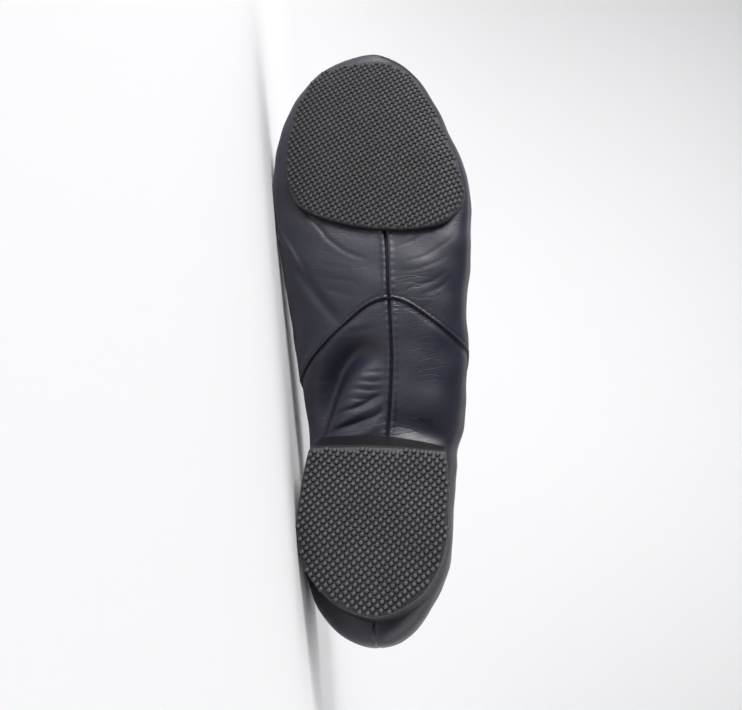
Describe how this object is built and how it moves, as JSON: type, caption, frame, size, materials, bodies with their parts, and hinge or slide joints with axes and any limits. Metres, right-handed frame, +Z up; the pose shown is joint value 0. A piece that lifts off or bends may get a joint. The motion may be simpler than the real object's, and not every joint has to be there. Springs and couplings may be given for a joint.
{
  "type": "jazz shoe",
  "caption": "Left split-sole jazz shoe in soft black leather, with a rubber forefoot patch and a low heel, lying on its inner side.",
  "frame": {"origin": "centre of the bounding box, at the floor that the shoe lies on", "axes": "+X from the toe to the heel, +Y from the sole towards the collar, +Z up from the inner side to the outer side"},
  "size_m": [0.2488, 0.0862, 0.0827],
  "materials": {
    "leather": "soft black leather with a low sheen",
    "rubber": "matt black rubber",
    "heel": "smooth black moulded heel",
    "lining": "matt black lining"
  },
  "bodies": {
    "root": {"upper": "leather", "forefoot_sole": "rubber", "heel_block": "heel", "heel_tread": "rubber", "insole": "lining"}
  },
  "joints": []
}
